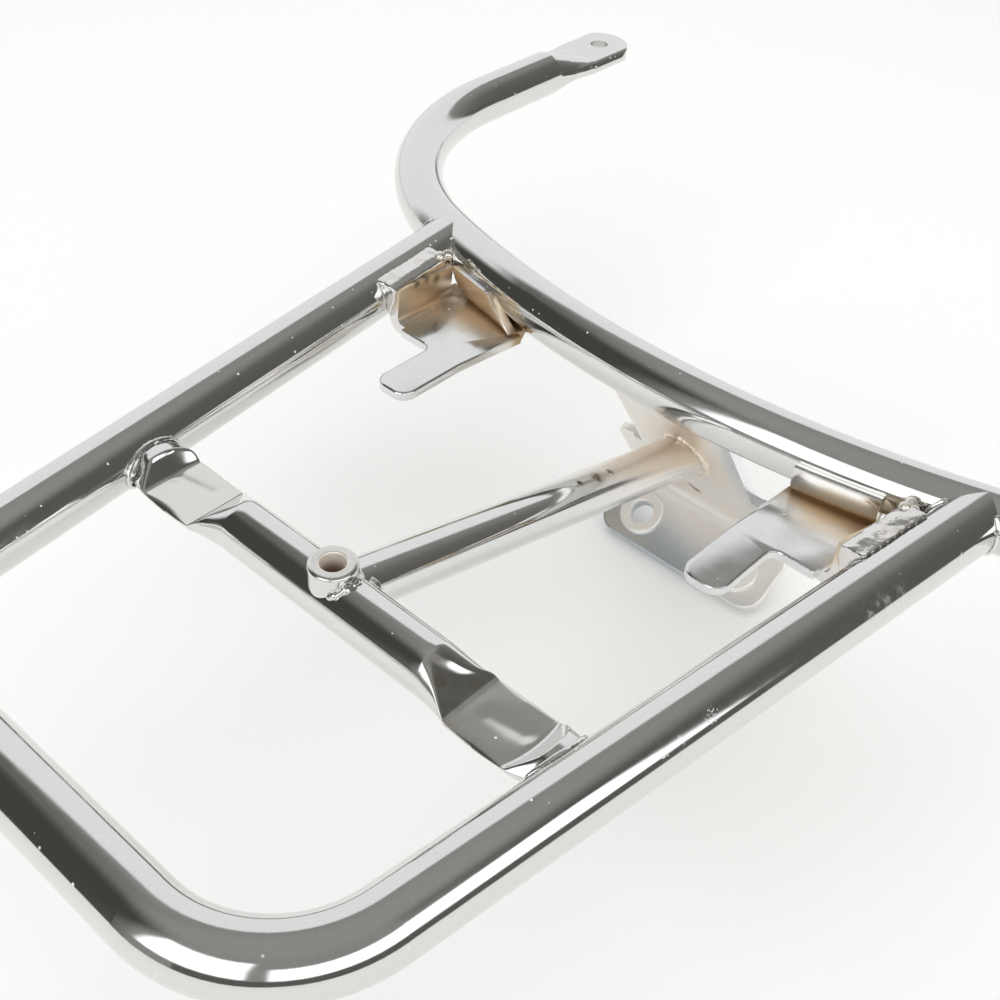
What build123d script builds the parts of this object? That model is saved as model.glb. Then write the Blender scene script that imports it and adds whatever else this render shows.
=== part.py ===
from build123d import *
import math
import os

# Motorcycle luggage rack: a chromed weldment of bent tube and formed sheet.
# X runs from the left rail to the right rail, Y forward to the seat, Z up.
# The origin is the middle of the crossbar, in the plane of the rail centrelines.

# Tube and sheet stock
tube_d = 22.0
bar_d = 19.0
strut_d = 18.0
sheet = 4.0

# Rack outline, all on tube centrelines
rail_spacing = 204.0
rail_taper = 7.0
rear_reach = 107.0
rear_bend = 45.0
loop_reach = 162.0
bow_radius = 434.0
bow_half_angle = 17.3
loop_bend = 111.0
arm_length = 46.0

# Pressed ends of the grab loop
flatten_length = 24.0
tab_length = 34.0
tab_width = 30.0
tab_thickness = 7.0
tab_hole_d = 9.0

# Crossbar: how far its top lies under the rails' tops, and its pressed pads
bar_drop = 0.4
pad_gap = 10.0
pad_length = 23.0
pad_width = 24.0
pad_drop = 11.0
pad_blend = 13.0
pad_end_blend = 6.0
dimple_length = 16.0
dimple_width = 6.0
dimple_depth = 1.0
dimple_taper = 40.0
stub_half = 11.0
stub_top = 5.0

# Bush for the case bolt, seated a little below the crossbar's axis
bush_d = 16.0
bush_bore_d = 8.4
bush_stand = 4.4
bush_depth = 4.0
bush_edge = 1.2
bore_edge = 0.6

# Mounting bracket
bracket_lean = 32.0
bracket_offset = 4.0
bracket_cope = 6.0
bracket_leg = 104.0
bracket_leaf = 33.0
bracket_neck = 57.0
bracket_width = 86.0
bracket_bend = 8.0
neck_length = 60.0
neck_flare = 18.0
relief_width = 4.5
relief_depth = 6.0
ear_radius = 8.0
leaf_corner = 9.0
leaf_edge = 1.0
strut_hit = 47.7

# Bolt collars on the bracket's leaf
collar_edge = 17.0
collar_inset = 14.0
collar_d = 20.0
collar_height = 2.0
collar_round = 0.8
bolt_hole_d = 10.8

# Corner hooks
hook_setback = 58.0
hook_width = 36.5
hook_z = -5.7
hook_fall = 5.7
hook_gap = 1.5
hook_bend = 3.0
hook_top = 8.0
hook_top_slope = 8.0
hook_top_flat = 7.0
flange_length = 35.0
tongue_length = 30.5
tongue_width = 16.5
tongue_lift = 2.2
tongue_bend = 25.0
tongue_corner = 6.0
hook_edge = 1.0
notch_corner = 4.0
lip_start = 66.0
lip_width = 31.0
lip_low = 60.0
lip_high = 14.0
lip_lap = 1.5

# Weld beads
bead = 2.0
seam_bead = 1.2
seam_half_height = 8.5
filler_lap = 1.2
filler_crown = 1.8
filler_top = 10.0
filler_foot = 3.3
filler_root = 6.0
filler_rail_root = 7.7
filler_setback = 2.0
blob_r = 3.4
blob_low = 3.0
blob_height = 6.0
blob_taper = 12.0
blob_inset = 13.6
blob_setback = 21.8

# Values that follow from the ones above
diag = math.sqrt(0.5)
tube_r = tube_d / 2
bar_r = bar_d / 2
strut_r = strut_d / 2
bush_r = bush_d / 2
rail_half = rail_spacing / 2
slope = math.tan(math.radians(rail_taper))
rail_sin = math.sin(math.radians(rail_taper))
rail_cos = math.cos(math.radians(rail_taper))
rear_half = rail_half - slope * rear_reach
bow_sin = math.sin(math.radians(bow_half_angle))
bow_cos = math.cos(math.radians(bow_half_angle))
loop_centre_y = loop_reach + bow_radius
arm_x = bow_radius * bow_sin + loop_bend * (1 - bow_sin)
bend_end_y = loop_centre_y - (bow_radius - loop_bend) * bow_cos
arm_end_y = bend_end_y + arm_length
bar_z = tube_r - bar_r - bar_drop

# Point where a rail's centreline crosses the loop's bowed middle
cross_a = 1 + slope**2
cross_b = loop_centre_y - rail_half * slope
cross_c = rail_half**2 + loop_centre_y**2 - bow_radius**2
joint_y = (cross_b - math.sqrt(cross_b**2 - cross_a * cross_c)) / cross_a
joint_x = rail_half + slope * joint_y

os.makedirs("parts", exist_ok=True)


def round_section(half, top, bottom):
    # Closed section of four arcs: a circle when the three sizes are equal, else an oval
    with BuildSketch() as section:
        with BuildLine():
            ThreePointArc((-half * diag, top * diag), (0, top), (half * diag, top * diag))
            ThreePointArc((half * diag, top * diag), (half, 0), (half * diag, -bottom * diag))
            ThreePointArc((half * diag, -bottom * diag), (0, -bottom), (-half * diag, -bottom * diag))
            ThreePointArc((-half * diag, -bottom * diag), (-half, 0), (-half * diag, top * diag))
        make_face()
    return section.sketch


# Grab loop: one tube bent round the back of the seat, its ends pressed into bolt tabs
with BuildLine() as loop_path:
    left_arm = Line((-arm_x, arm_end_y), (-arm_x, bend_end_y))
    left_turn = JernArc(left_arm @ 1, left_arm % 1, loop_bend, 90 - bow_half_angle)
    bow = JernArc(left_turn @ 1, left_turn % 1, bow_radius, 2 * bow_half_angle)
    right_turn = JernArc(bow @ 1, bow % 1, loop_bend, 90 - bow_half_angle)
    Line(right_turn @ 1, (arm_x, arm_end_y))

tab_half = tab_thickness / 2
tab_flat = tab_width / 2 - tab_half
tab_start_y = arm_end_y + flatten_length
tab_end_y = tab_start_y + tab_length
tab_hole_y = tab_end_y - tab_width / 2

with BuildPart() as grab_loop:
    with BuildSketch(Plane(origin=loop_path.line @ 0, z_dir=loop_path.line % 0)):
        Circle(tube_r)
    sweep(path=loop_path.line)
    for arm in (-arm_x, arm_x):
        with BuildSketch(Plane((arm, arm_end_y, 0), x_dir=(1, 0, 0), z_dir=(0, 1, 0))):
            add(round_section(tube_r, tube_r, tube_r))
        with BuildSketch(Plane((arm, tab_start_y, 0), x_dir=(1, 0, 0), z_dir=(0, 1, 0))) as tab_face:
            with BuildLine():
                Line((-tab_flat, tab_half), (tab_flat, tab_half))
                ThreePointArc((tab_flat, tab_half), (tab_width / 2, 0), (tab_flat, -tab_half))
                Line((tab_flat, -tab_half), (-tab_flat, -tab_half))
                ThreePointArc((-tab_flat, -tab_half), (-tab_width / 2, 0), (-tab_flat, tab_half))
            make_face()
        loft(ruled=True)
        extrude(tab_face.sketch, amount=tab_length)
        with BuildSketch(Plane.XY):
            with Locations((arm, tab_end_y - tab_width / 4)):
                Rectangle(tab_width + 2, tab_width / 2)
            with Locations((arm, tab_hole_y)):
                Circle(tab_width / 2, mode=Mode.SUBTRACT)
            with Locations((arm, tab_hole_y)):
                Circle(tab_hole_d / 2)
        extrude(amount=tab_thickness, both=True, mode=Mode.SUBTRACT)
grab_loop.part.label = "grab_loop"
export_step(grab_loop.part, "parts/grab_loop.step")


# Rack frame: left rail, rear bar and right rail bent from one tube, coped to the loop
with BuildLine() as frame_path:
    FilletPolyline(
        (-joint_x, joint_y),
        (-rear_half, -rear_reach),
        (rear_half, -rear_reach),
        (joint_x, joint_y),
        radius=rear_bend,
    )

with BuildPart() as rack_frame:
    with BuildSketch(Plane(origin=frame_path.line @ 0, z_dir=frame_path.line % 0)):
        Circle(tube_r)
    sweep(path=frame_path.line)
    add(grab_loop.part, mode=Mode.SUBTRACT)
rack_frame.part.label = "rack_frame"
export_step(rack_frame.part, "parts/rack_frame.step")


# Crossbar: straight tube, spread and pressed flat near each rail by a punch with sloped ends
rail_inner = rail_half - tube_r / rail_cos
pad_outer = rail_inner - pad_gap
pad_inner = pad_outer - pad_length
round_inner = pad_inner - pad_blend
stub_x = pad_outer + pad_end_blend
pad_z = bar_z + bar_r - pad_drop
bush_top = bar_z + bar_r + bush_stand
bush_bottom = bar_z - bush_depth
bar_shape = (bar_r, bar_r, bar_r)
pad_shape = (pad_width / 2, bar_r, bar_r)
stub_shape = (stub_half, stub_top, bar_r)
bar_stations = (
    (round_inner, bar_shape),
    (pad_inner, pad_shape),
    (pad_outer, pad_shape),
    (stub_x, stub_shape),
    (rail_half, stub_shape),
)


def across(x):
    # Plane square to the crossbar at a distance along it
    return Plane((x, 0, bar_z), x_dir=(0, 1, 0), z_dir=(1, 0, 0))


with BuildPart() as crossbar:
    with BuildSketch(across(-round_inner)):
        Circle(bar_r)
    extrude(amount=2 * round_inner)
    for side in (-1, 1):
        for x, shape in bar_stations:
            with BuildSketch(across(side * x)):
                add(round_section(*shape))
        loft(ruled=True)
        with BuildSketch(Plane.XZ):
            with BuildLine():
                Polyline(
                    (side * round_inner, bar_z + bar_r),
                    (side * pad_inner, pad_z),
                    (side * pad_outer, pad_z),
                    (side * stub_x, bar_z + stub_top),
                    (side * stub_x, bar_z + bar_d),
                    (side * round_inner, bar_z + bar_d),
                    close=True,
                )
            make_face()
        extrude(amount=pad_width, both=True, mode=Mode.SUBTRACT)
        with BuildSketch(Plane((side * (pad_inner + pad_outer) / 2, 0, pad_z))):
            SlotOverall(dimple_length, dimple_width)
        extrude(amount=-dimple_depth, taper=dimple_taper, mode=Mode.SUBTRACT)
    with BuildSketch(Plane.XY.offset(bush_bottom)):
        Circle(bush_r)
    extrude(amount=bar_d, mode=Mode.SUBTRACT)
    add(rack_frame.part, mode=Mode.SUBTRACT)
crossbar.part.label = "crossbar"
export_step(crossbar.part, "parts/crossbar.step")


# Case bush: turned sleeve let into the middle of the crossbar
with BuildPart() as case_bush:
    with BuildSketch(Plane.XY.offset(bush_bottom)):
        Circle(bush_r)
        Circle(bush_bore_d / 2, mode=Mode.SUBTRACT)
    extrude(amount=bush_top - bush_bottom)
    for rim, edge in ((0, bore_edge), (-1, bush_edge)):
        top_rims = case_bush.edges().filter_by(GeomType.CIRCLE).group_by(Axis.Z)[-1]
        fillet(top_rims.sort_by(SortBy.RADIUS)[rim], radius=edge)
case_bush.part.label = "case_bush"
export_step(case_bush.part, "parts/case_bush.step")


# Mounting bracket: one sheet, an inclined leg under the loop and a leaf folded back to the rear
lean_sin = math.sin(math.radians(bracket_lean))
lean_cos = math.cos(math.radians(bracket_lean))
leg_root = (loop_reach + bracket_offset, -tube_r)
leg_top = (leg_root[0] - bracket_cope * lean_sin, leg_root[1] + bracket_cope * lean_cos)
leg_foot = (leg_root[0] + bracket_leg * lean_sin, leg_root[1] - bracket_leg * lean_cos)
leaf_end = (leg_foot[0] - bracket_leaf * lean_cos, leg_foot[1] - bracket_leaf * lean_sin)
leg_plane = Plane((0, leg_root[0], leg_root[1]), x_dir=(1, 0, 0), z_dir=(0, -lean_cos, -lean_sin))
leaf_plane = Plane((0, leg_foot[0], leg_foot[1]), x_dir=(1, 0, 0), z_dir=(0, -lean_sin, lean_cos))
neck_half = bracket_neck / 2
leaf_span = bracket_leaf + 4 * sheet + leaf_corner
collar_spacing = bracket_width - 2 * collar_edge

with BuildPart() as mounting_bracket:
    with BuildSketch(Plane.YZ):
        with BuildLine():
            FilletPolyline(leg_top, leg_foot, leaf_end, radius=bracket_bend)
            offset(amount=sheet, side=Side.LEFT)
        make_face()
    extrude(amount=bracket_width / 2, both=True)
    with BuildSketch(leg_plane):
        with Locations((0, -neck_length - bracket_width / 2 - relief_depth / 2)):
            RectangleRounded(bracket_width, bracket_width, ear_radius)
        with Locations((0, -neck_length / 2)):
            Rectangle(bracket_neck, neck_length + 2 * relief_depth)
        with Locations((0, tube_r / 2 - neck_flare / 2)):
            Rectangle(bracket_neck + 2 * neck_flare, tube_r + neck_flare)
        for side in (-1, 1):
            with Locations((side * (neck_half + neck_flare), -neck_flare)):
                Circle(neck_flare, mode=Mode.SUBTRACT)
            with Locations((side * (neck_half + relief_width / 2), -neck_length)):
                Rectangle(relief_width, 2 * relief_depth, mode=Mode.SUBTRACT)
    extrude(amount=bracket_width, both=True, mode=Mode.INTERSECT)
    with BuildSketch(leaf_plane):
        with Locations((0, leaf_span / 2 - bracket_leaf)):
            RectangleRounded(bracket_width, leaf_span, leaf_corner)
    extrude(amount=2 * bracket_leg, both=True, mode=Mode.INTERSECT)
    fillet(mounting_bracket.edges().filter_by(Axis.X).sort_by(Axis.Z)[:2], radius=leaf_edge)
    with BuildSketch(leaf_plane):
        with Locations((0, -bracket_leaf + collar_inset)):
            with GridLocations(collar_spacing, 1, 2, 1):
                Circle(bolt_hole_d / 2)
    extrude(amount=2 * sheet, both=True, mode=Mode.SUBTRACT)
    add(grab_loop.part, mode=Mode.SUBTRACT)
mounting_bracket.part.label = "mounting_bracket"
export_step(mounting_bracket.part, "parts/mounting_bracket.step")


# Bolt collars: turned rings seated on the leaf round the bolt holes
with BuildPart() as bolt_collar_left:
    with BuildSketch(leaf_plane):
        with Locations((-collar_spacing / 2, -bracket_leaf + collar_inset)):
            Circle(collar_d / 2)
            Circle(bolt_hole_d / 2, mode=Mode.SUBTRACT)
    extrude(amount=collar_height)
    collar_axis = Axis(leaf_plane.origin, leaf_plane.z_dir)
    fillet(bolt_collar_left.faces().sort_by(collar_axis)[-1].edges(), radius=collar_round)
bolt_collar_left.part.label = "bolt_collar_left"
export_step(bolt_collar_left.part, "parts/bolt_collar_left.step")

with BuildPart() as bolt_collar_right:
    mirror(bolt_collar_left.part, about=Plane.YZ)
bolt_collar_right.part.label = "bolt_collar_right"
export_step(bolt_collar_right.part, "parts/bolt_collar_right.step")


# Centre strut: tube from the crossbar down to the bracket's leg, cut to fit both
hit_y = leg_root[0] + strut_hit * lean_sin
hit_z = leg_root[1] - strut_hit * lean_cos
strut_dir = Vector(0, hit_y, hit_z - bar_z).normalized()
strut_plane = Plane((0, 0, bar_z), x_dir=(1, 0, 0), z_dir=strut_dir)
strut_reach = math.hypot(hit_y, hit_z - bar_z) + strut_d
cut_plane = leg_plane.offset(-sheet / 2)

with BuildPart() as centre_strut:
    with BuildSketch(strut_plane):
        Circle(strut_r)
    extrude(amount=strut_reach)
    split(bisect_by=cut_plane, keep=Keep.TOP)
    add(mounting_bracket.part, mode=Mode.SUBTRACT)
    with BuildSketch(across(-strut_d)):
        Circle(bar_r)
    extrude(amount=2 * strut_d, mode=Mode.SUBTRACT)
    with BuildSketch(Plane.XY.offset(bush_bottom)):
        Circle(bush_r)
    extrude(amount=bush_top - bush_bottom, mode=Mode.SUBTRACT)
centre_strut.part.label = "centre_strut"
export_step(centre_strut.part, "parts/centre_strut.step")


# Corner hooks: sheet with a tongue, an upright flange beside the rail and a lip curled round the loop
hook_y = joint_y - hook_setback
hook_x = rail_half + slope * hook_y
flange_outer = -(tube_r + hook_gap)
flange_inner = flange_outer - sheet
base_edge = flange_inner - hook_bend - 1
flange_x = hook_x + flange_inner / rail_cos
base_x = flange_x - hook_width
tongue_x = base_x + tongue_width
tip_y = hook_y - tongue_length
tip_z = hook_z + tongue_length * math.tan(math.radians(tongue_lift))
fall = math.tan(math.radians(hook_fall))
front_y = joint_y
front_z = hook_z - hook_setback * fall
edge_x = hook_x + base_edge / rail_cos
lip_r = bow_radius + tube_r
lip_from = math.asin(lip_start / lip_r)
lip_arc = math.degrees(math.asin((lip_start + lip_width) / lip_r) - lip_from)
rail_plane = Plane(
    (hook_x, hook_y, 0), x_dir=(rail_cos, -rail_sin, 0), z_dir=(-rail_sin, -rail_cos, 0)
)
base_normal = Vector(0, fall, 1).normalized()
fold_dir = Vector(rail_sin, rail_cos, -rail_cos * fall).normalized()
fold_plane = Plane((hook_x, hook_y, hook_z), x_dir=fold_dir.cross(base_normal), z_dir=-fold_dir)
flange_plane = Plane(
    (hook_x, hook_y, 0), x_dir=(rail_sin, rail_cos, 0), z_dir=(rail_cos, -rail_sin, 0)
)
lip_plane = Plane(
    (0, loop_centre_y, 0),
    x_dir=(math.sin(lip_from), -math.cos(lip_from), 0),
    z_dir=(-math.cos(lip_from), -math.sin(lip_from), 0),
)

with BuildPart() as hook_right:
    with BuildSketch(Plane.YZ.offset(base_x)):
        with BuildLine():
            FilletPolyline((tip_y, tip_z), (hook_y, hook_z), (front_y, front_z), radius=tongue_bend)
            offset(amount=sheet, side=Side.RIGHT)
        make_face()
    extrude(amount=hook_width)
    with BuildSketch(Plane.XY) as base_outline:
        with BuildLine():
            Polyline(
                (base_x, tip_y),
                (tongue_x, tip_y),
                (tongue_x, hook_y),
                (edge_x, hook_y),
                (edge_x + slope * (front_y - hook_y), front_y),
                (base_x, front_y),
                close=True,
            )
        make_face()
        fillet(base_outline.vertices().group_by(Axis.Y)[0], radius=tongue_corner)
        fillet(base_outline.vertices().sort_by_distance((tongue_x, hook_y))[0], radius=notch_corner)
        with Locations((0, loop_centre_y)):
            Circle(lip_r - lip_lap, mode=Mode.SUBTRACT)
    extrude(amount=4 * tube_d, both=True, mode=Mode.INTERSECT)
    fillet(hook_right.edges().filter_by(Axis.X).group_by(Axis.Y)[0], radius=hook_edge)
    with BuildSketch(fold_plane):
        with BuildLine():
            FilletPolyline(
                (base_edge - sheet, 0),
                (flange_inner, 0),
                (flange_inner, hook_top - hook_z + 2 * sheet),
                radius=hook_bend,
            )
            offset(amount=sheet, side=Side.RIGHT)
        make_face()
    extrude(amount=-flange_length)
    with BuildSketch(lip_plane):
        with BuildLine():
            lip_out = CenterArc((bow_radius, 0), tube_r + sheet, -lip_low, lip_low + lip_high)
            lip_in = CenterArc((bow_radius, 0), tube_r, -lip_low, lip_low + lip_high)
            Line(lip_out @ 0, lip_in @ 0)
            Line(lip_out @ 1, lip_in @ 1)
        make_face()
    revolve(axis=Axis((0, loop_centre_y, 0), (0, 0, 1)), revolution_arc=lip_arc)
    with BuildSketch(flange_plane):
        with BuildLine():
            Polyline(
                (-sheet, hook_top + tube_d),
                (-sheet, hook_top),
                (hook_top_flat, hook_top),
                (flange_length + sheet, hook_top - flange_length * math.tan(math.radians(hook_top_slope))),
                (flange_length + sheet, hook_top + tube_d),
                close=True,
            )
        make_face()
    extrude(amount=2 * tube_d, both=True, mode=Mode.SUBTRACT)
hook_right.part.label = "hook_right"
export_step(hook_right.part, "parts/hook_right.step")

with BuildPart() as hook_left:
    mirror(hook_right.part, about=Plane.YZ)
hook_left.part.label = "hook_left"
export_step(hook_left.part, "parts/hook_left.step")


# Loop and rail grown by a bead's size: the weld metal lies within both of them
with BuildPart() as loop_swell:
    with BuildSketch(Plane(origin=loop_path.line @ 0, z_dir=loop_path.line % 0)):
        Circle(tube_r + seam_bead)
    sweep(path=loop_path.line)

with BuildPart() as loop_wide_swell:
    with BuildSketch(Plane(origin=loop_path.line @ 0, z_dir=loop_path.line % 0)):
        Circle(tube_r + bead)
    sweep(path=loop_path.line)


# Seams where the rails meet the loop, on the inner and the outer side of each rail
with BuildPart() as rail_seam:
    with BuildSketch(Plane((joint_x, joint_y, 0), x_dir=(0, 0, 1), z_dir=(rail_sin, rail_cos, 0))):
        Circle(tube_r + seam_bead)
    extrude(amount=-2 * tube_d)
    add(loop_swell.part, mode=Mode.INTERSECT)
    add(grab_loop.part, mode=Mode.SUBTRACT)
    add(rack_frame.part, mode=Mode.SUBTRACT)
    with BuildSketch(Plane.XY):
        with Locations((joint_x, joint_y)):
            Circle(2 * tube_d)
    extrude(amount=seam_half_height, both=True, mode=Mode.INTERSECT)

with BuildPart() as weld_rail_right:
    add(rail_seam.part.solids().sort_by(Axis.X)[0])
weld_rail_right.part.label = "weld_rail_right"
export_step(weld_rail_right.part, "parts/weld_rail_right.step")

with BuildPart() as weld_rail_left:
    mirror(weld_rail_right.part, about=Plane.YZ)
weld_rail_left.part.label = "weld_rail_left"
export_step(weld_rail_left.part, "parts/weld_rail_left.step")

with BuildPart() as weld_outer_right:
    add(rail_seam.part.solids().sort_by(Axis.X)[-1])
weld_outer_right.part.label = "weld_outer_right"
export_step(weld_outer_right.part, "parts/weld_outer_right.step")

with BuildPart() as weld_outer_left:
    mirror(weld_outer_right.part, about=Plane.YZ)
weld_outer_left.part.label = "weld_outer_left"
export_step(weld_outer_left.part, "parts/weld_outer_left.step")


# Beads round the crossbar's ends
with BuildPart() as weld_crossbar_right:
    with BuildSketch(Plane((rail_half, 0, 0), x_dir=(0, 0, 1), z_dir=(rail_sin, rail_cos, 0))):
        Circle(tube_r + seam_bead)
    extrude(amount=2 * bar_d, both=True)
    with BuildSketch(across(rail_half)):
        add(round_section(stub_half + seam_bead, stub_top + seam_bead, bar_r + seam_bead))
    extrude(amount=-tube_d, mode=Mode.INTERSECT)
    add(rack_frame.part, mode=Mode.SUBTRACT)
    add(crossbar.part, mode=Mode.SUBTRACT)
weld_crossbar_right.part.label = "weld_crossbar_right"
export_step(weld_crossbar_right.part, "parts/weld_crossbar_right.step")

with BuildPart() as weld_crossbar_left:
    mirror(weld_crossbar_right.part, about=Plane.YZ)
weld_crossbar_left.part.label = "weld_crossbar_left"
export_step(weld_crossbar_left.part, "parts/weld_crossbar_left.step")


# Bead round the front of the bush, on top of the crossbar
with BuildPart() as weld_bush:
    with BuildSketch(across(-bar_d)):
        Circle(bar_r + bead)
    extrude(amount=2 * bar_d)
    with BuildSketch(Plane.XY.offset(bar_z)):
        Circle(bush_r + bead)
        with Locations((0, -bush_d)):
            Rectangle(2 * bush_d, 2 * bush_d, mode=Mode.SUBTRACT)
    extrude(amount=bar_d, mode=Mode.INTERSECT)
    add(crossbar.part, mode=Mode.SUBTRACT)
    with BuildSketch(Plane.XY.offset(bush_bottom)):
        Circle(bush_r)
    extrude(amount=bush_top - bush_bottom, mode=Mode.SUBTRACT)
    add(centre_strut.part, mode=Mode.SUBTRACT)
weld_bush.part.label = "weld_bush"
export_step(weld_bush.part, "parts/weld_bush.step")


# Bead round the strut's rear end, on the crossbar
with BuildPart() as weld_strut_rear:
    with BuildSketch(across(-bar_d)):
        Circle(bar_r + bead)
    extrude(amount=2 * bar_d)
    with BuildSketch(strut_plane):
        Circle(strut_r + bead)
    extrude(amount=strut_d + bead, mode=Mode.INTERSECT)
    add(centre_strut.part, mode=Mode.SUBTRACT)
    with BuildSketch(across(-bar_d)):
        Circle(bar_r)
    extrude(amount=2 * bar_d, mode=Mode.SUBTRACT)
    with BuildSketch(Plane.XY.offset(bush_bottom)):
        Circle(bush_r)
    extrude(amount=bush_top - bush_bottom, mode=Mode.SUBTRACT)
    add(weld_bush.part, mode=Mode.SUBTRACT)
    split(bisect_by=Plane.XY.offset(bar_z + strut_r / 2), keep=Keep.BOTTOM)
weld_strut_rear.part.label = "weld_strut_rear"
export_step(weld_strut_rear.part, "parts/weld_strut_rear.step")


# Bead round the strut's front end, on the bracket's leg
with BuildPart() as weld_strut_front:
    with BuildSketch(strut_plane):
        Circle(strut_r + bead)
    extrude(amount=strut_reach)
    split(bisect_by=cut_plane, keep=Keep.TOP)
    split(bisect_by=leg_plane.offset(bead), keep=Keep.BOTTOM)
    add(mounting_bracket.part, mode=Mode.SUBTRACT)
    add(centre_strut.part, mode=Mode.SUBTRACT)
weld_strut_front.part.label = "weld_strut_front"
export_step(weld_strut_front.part, "parts/weld_strut_front.step")


# Bead along the bracket's top edge, under the loop
with BuildPart() as weld_bracket:
    with BuildSketch(leg_plane):
        with Locations((0, -tube_r / 2)):
            Rectangle(bracket_neck + neck_flare, 2 * tube_d)
    extrude(amount=bead)
    add(loop_wide_swell.part, mode=Mode.INTERSECT)
    add(mounting_bracket.part, mode=Mode.SUBTRACT)
    add(grab_loop.part, mode=Mode.SUBTRACT)
weld_bracket.part.label = "weld_bracket"
export_step(weld_bracket.part, "parts/weld_bracket.step")


# Filler between each hook's flange and the rail
with BuildPart() as weld_hook_right:
    with BuildSketch(rail_plane):
        with BuildLine():
            Polyline(
                (flange_inner + filler_lap, hook_top - sheet),
                (flange_inner + filler_lap, hook_top + seam_bead / 2),
                (flange_outer, hook_top + filler_crown),
                (-filler_root, filler_top),
                (-filler_rail_root, 0),
                (flange_outer, -filler_foot),
                close=True,
            )
        make_face()
    extrude(amount=-(flange_length - filler_setback))
    add(rack_frame.part, mode=Mode.SUBTRACT)
    add(hook_right.part, mode=Mode.SUBTRACT)
weld_hook_right.part.label = "weld_hook_right"
export_step(weld_hook_right.part, "parts/weld_hook_right.step")

with BuildPart() as weld_hook_left:
    mirror(weld_hook_right.part, about=Plane.YZ)
weld_hook_left.part.label = "weld_hook_left"
export_step(weld_hook_left.part, "parts/weld_hook_left.step")


# Blob in the corner between rail and loop, at the front of the hook's filler
with BuildPart() as weld_corner_right:
    with BuildSketch(Plane.XY.offset(blob_low)):
        with Locations((joint_x - blob_inset, joint_y - blob_setback)):
            Circle(blob_r)
    extrude(amount=blob_height, taper=blob_taper)
    add(rack_frame.part, mode=Mode.SUBTRACT)
    add(grab_loop.part, mode=Mode.SUBTRACT)
    add(hook_right.part, mode=Mode.SUBTRACT)
    add(weld_rail_right.part, mode=Mode.SUBTRACT)
    add(weld_hook_right.part, mode=Mode.SUBTRACT)
weld_corner_right.part.label = "weld_corner_right"
export_step(weld_corner_right.part, "parts/weld_corner_right.step")

with BuildPart() as weld_corner_left:
    mirror(weld_corner_right.part, about=Plane.YZ)
weld_corner_left.part.label = "weld_corner_left"
export_step(weld_corner_left.part, "parts/weld_corner_left.step")
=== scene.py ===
import math

import bmesh
import bpy
import numpy as np
from mathutils import Matrix, Quaternion, Vector, noise


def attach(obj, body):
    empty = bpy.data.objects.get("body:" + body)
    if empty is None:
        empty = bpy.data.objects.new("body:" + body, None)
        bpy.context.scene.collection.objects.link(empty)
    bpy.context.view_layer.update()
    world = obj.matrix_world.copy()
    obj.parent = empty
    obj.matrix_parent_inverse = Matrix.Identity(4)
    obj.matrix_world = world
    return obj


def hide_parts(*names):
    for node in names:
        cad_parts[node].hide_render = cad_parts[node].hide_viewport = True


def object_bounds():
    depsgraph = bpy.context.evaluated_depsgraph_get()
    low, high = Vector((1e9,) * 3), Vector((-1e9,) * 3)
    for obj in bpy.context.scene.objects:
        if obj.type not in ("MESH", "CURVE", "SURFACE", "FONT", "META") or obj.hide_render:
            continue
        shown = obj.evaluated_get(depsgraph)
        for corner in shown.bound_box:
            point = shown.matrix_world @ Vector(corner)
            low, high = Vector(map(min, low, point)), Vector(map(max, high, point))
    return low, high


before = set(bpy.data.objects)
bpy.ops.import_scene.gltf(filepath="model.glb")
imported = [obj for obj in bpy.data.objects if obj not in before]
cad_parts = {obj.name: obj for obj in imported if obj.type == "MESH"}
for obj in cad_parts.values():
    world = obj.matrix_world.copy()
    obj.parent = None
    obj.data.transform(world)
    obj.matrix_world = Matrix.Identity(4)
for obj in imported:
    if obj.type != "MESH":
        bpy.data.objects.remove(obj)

cad_low, cad_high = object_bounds()
MM = 0.001

# Camera, matched to the photograph's tubes: metres and degrees in the rack's own frame
EYE = Vector((0.23448, -0.19849, 0.30680))
AIM = Vector((0.004712, 0.069902, 0.0))
ROLL = 3.35
LENS = 50.358
SENSOR = 36.0

# Floor sheet, in metres: how far under the rack, and its corners
FLOOR_DROP = 0.002
FLOOR_CORNERS = ((1.0, -1.0), (1.0, 1.7), (-2.6, 3.2), (-2.6, -1.0))

# Brightness of the studio's white wall and soft boxes, as the chrome sees them
WALL_LEVEL = 0.97
BOX_LEVEL = 1.8

# Crossbar, in millimetres: the sizes of the part's source
BAR_R = 9.5
BAR_Z = 1.1
PAD_HALF = 12.0
PAD_REL = -1.5
PAD_IN = 57.92
PAD_OUT = 80.92
STUB_X = 87.2
STUB_TOP = 5.0
STUB_HALF = 10.8
RAIL_X = 102.0
RAIL_R = 11.0
RAIL_TAPER = math.radians(7.0)
SEAT_R = 6.4
SEAT_Z = -2.9

# Grid of the pressed crossbar: points round it, and its rows in millimetres
AROUND = 150
OUTLINE_POINTS = 512
COARSE_END = 12
APEX_LEAD = 4
FINE_STEP = 0.42
FOLD_HALF = 1.2
FOLD_STEP = 0.15
END_ROWS = 8
END_LAP = 0.35

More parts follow.
